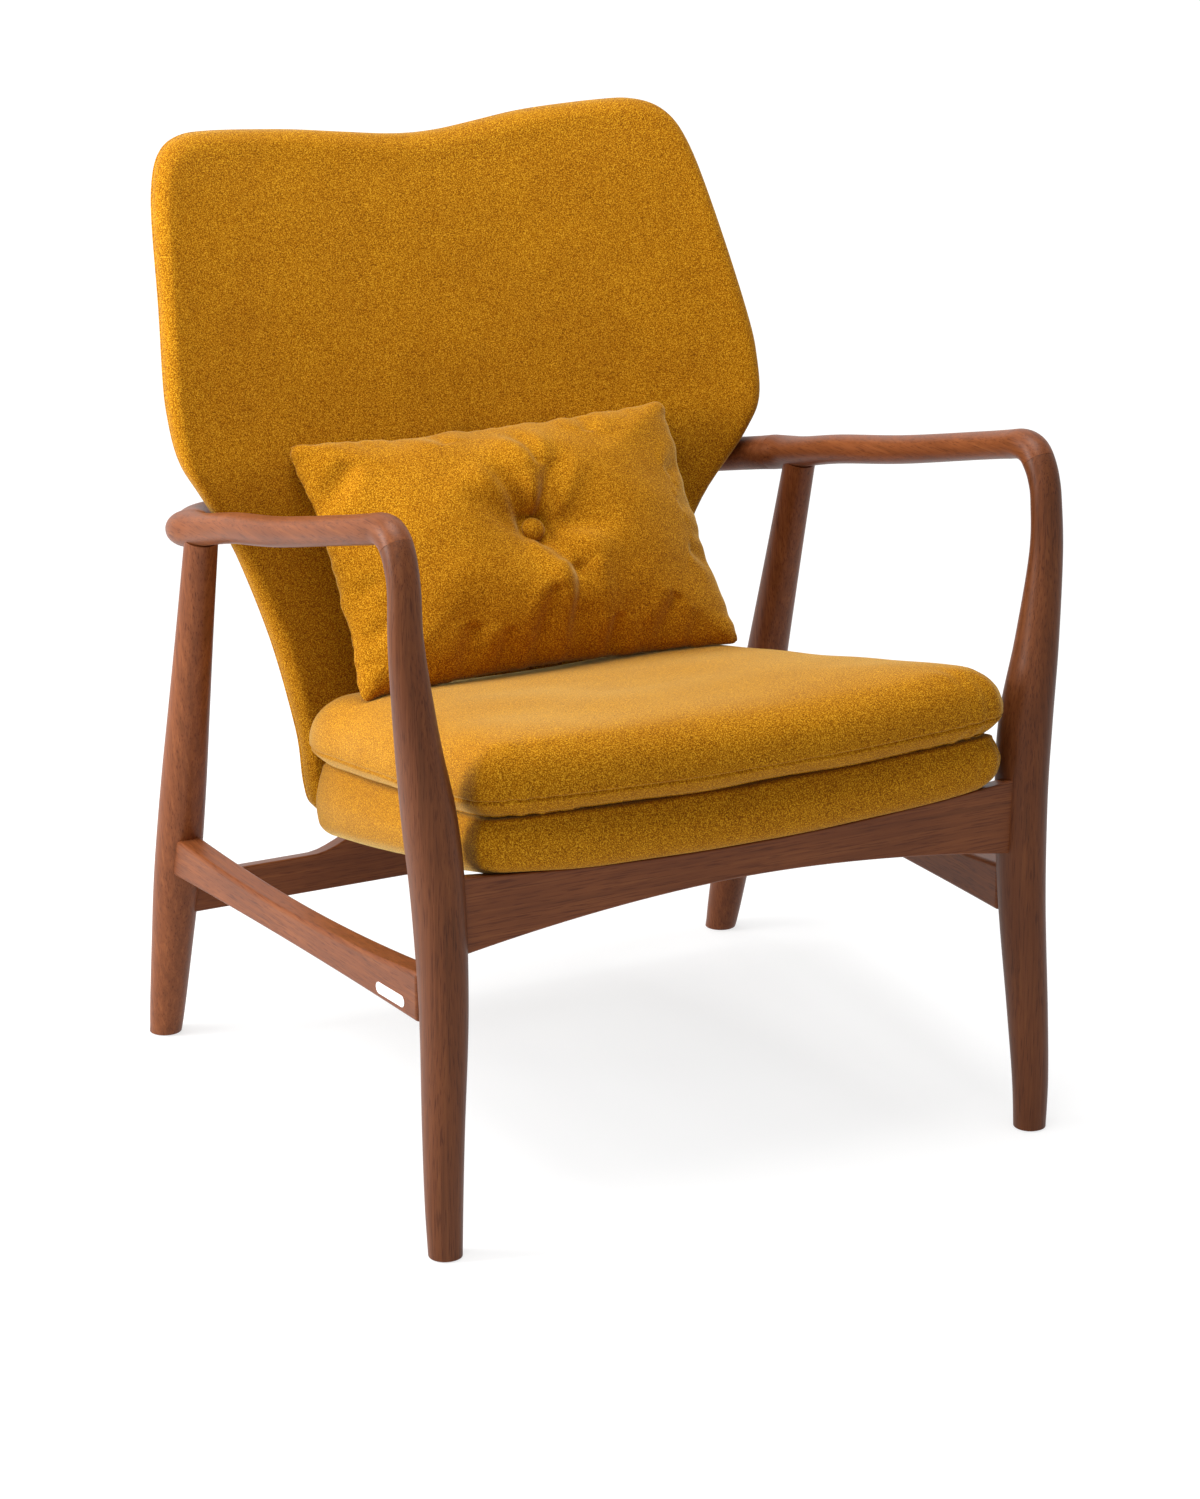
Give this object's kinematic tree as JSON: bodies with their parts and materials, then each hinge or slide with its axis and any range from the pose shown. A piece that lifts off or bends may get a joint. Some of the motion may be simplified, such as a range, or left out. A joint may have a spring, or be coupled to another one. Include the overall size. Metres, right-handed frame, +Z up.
{
  "type": "armchair",
  "caption": "Wooden armchair with a bowed timber frame, upholstered seat base and winged back, a loose seat cushion and a loose lumbar pillow.",
  "frame": {"origin": "on the floor below the centre of the bounding box", "axes": "+Z up, the chair faces -Y, +X is to the left of someone sitting in it"},
  "size_m": [0.6528, 0.6814, 0.8365],
  "materials": {
    "walnut_timber": "walnut-stained hardwood with a satin lacquer",
    "white_plate": "plain moulded plate, bare",
    "nylon_glide": "moulded nylon",
    "beech_dowel": "fluted beech, unfinished",
    "plywood": "bare moulded plywood",
    "foam": "open-cell upholstery foam",
    "velvet": "mustard short-pile velvet",
    "fibre_fill": "loose polyester fibre",
    "black_nonwoven": "spunbonded dust cover",
    "cotton_twine": "waxed cotton twine",
    "zinc_steel": "zinc-plated steel"
  },
  "bodies": {
    "frame": {"front_leg_left": "walnut_timber", "front_leg_right": "walnut_timber", "rear_leg_left": "walnut_timber", "rear_leg_right": "walnut_timber", "armrest_left": "walnut_timber", "armrest_right": "walnut_timber", "back_crossbar": "walnut_timber", "side_rail_left": "walnut_timber", "side_rail_right": "walnut_timber", "front_rail": "walnut_timber", "rear_rail": "walnut_timber", "back_bushes": "walnut_timber", "blank_plate": "white_plate", "foot_glides": "nylon_glide", "arm_dowels": "beech_dowel", "crossbar_dowels": "beech_dowel", "seat_pan": "plywood", "back_panel": "plywood", "seat_foam": "foam", "back_foam": "foam", "seat_cover": "velvet", "back_front_cover": "velvet", "back_rear_cover": "velvet", "dust_cover": "black_nonwoven", "seat_screws": "zinc_steel", "back_bolts": "zinc_steel", "back_nuts": "zinc_steel", "back_brackets": "zinc_steel", "bracket_screws": "zinc_steel"},
    "seat_cushion": {"cushion_core": "foam", "cushion_top_panel": "velvet", "cushion_bottom_panel": "velvet"},
    "lumbar_pillow": {"pillow_fill": "fibre_fill", "pillow_front_panel": "velvet", "pillow_rear_panel": "velvet", "pillow_buttons": "velvet", "pillow_twine": "cotton_twine"}
  },
  "joints": [
    {"name": "cushion_lift", "type": "slide", "parent": "frame", "child": "seat_cushion", "axis": [0, -0.8944, 0.4472], "range_m": [0, 0.35]},
    {"name": "pillow_lift", "type": "slide", "parent": "seat_cushion", "child": "lumbar_pillow", "axis": [0, -0.7071, 0.7071], "range_m": [0, 0.3]}
  ]
}
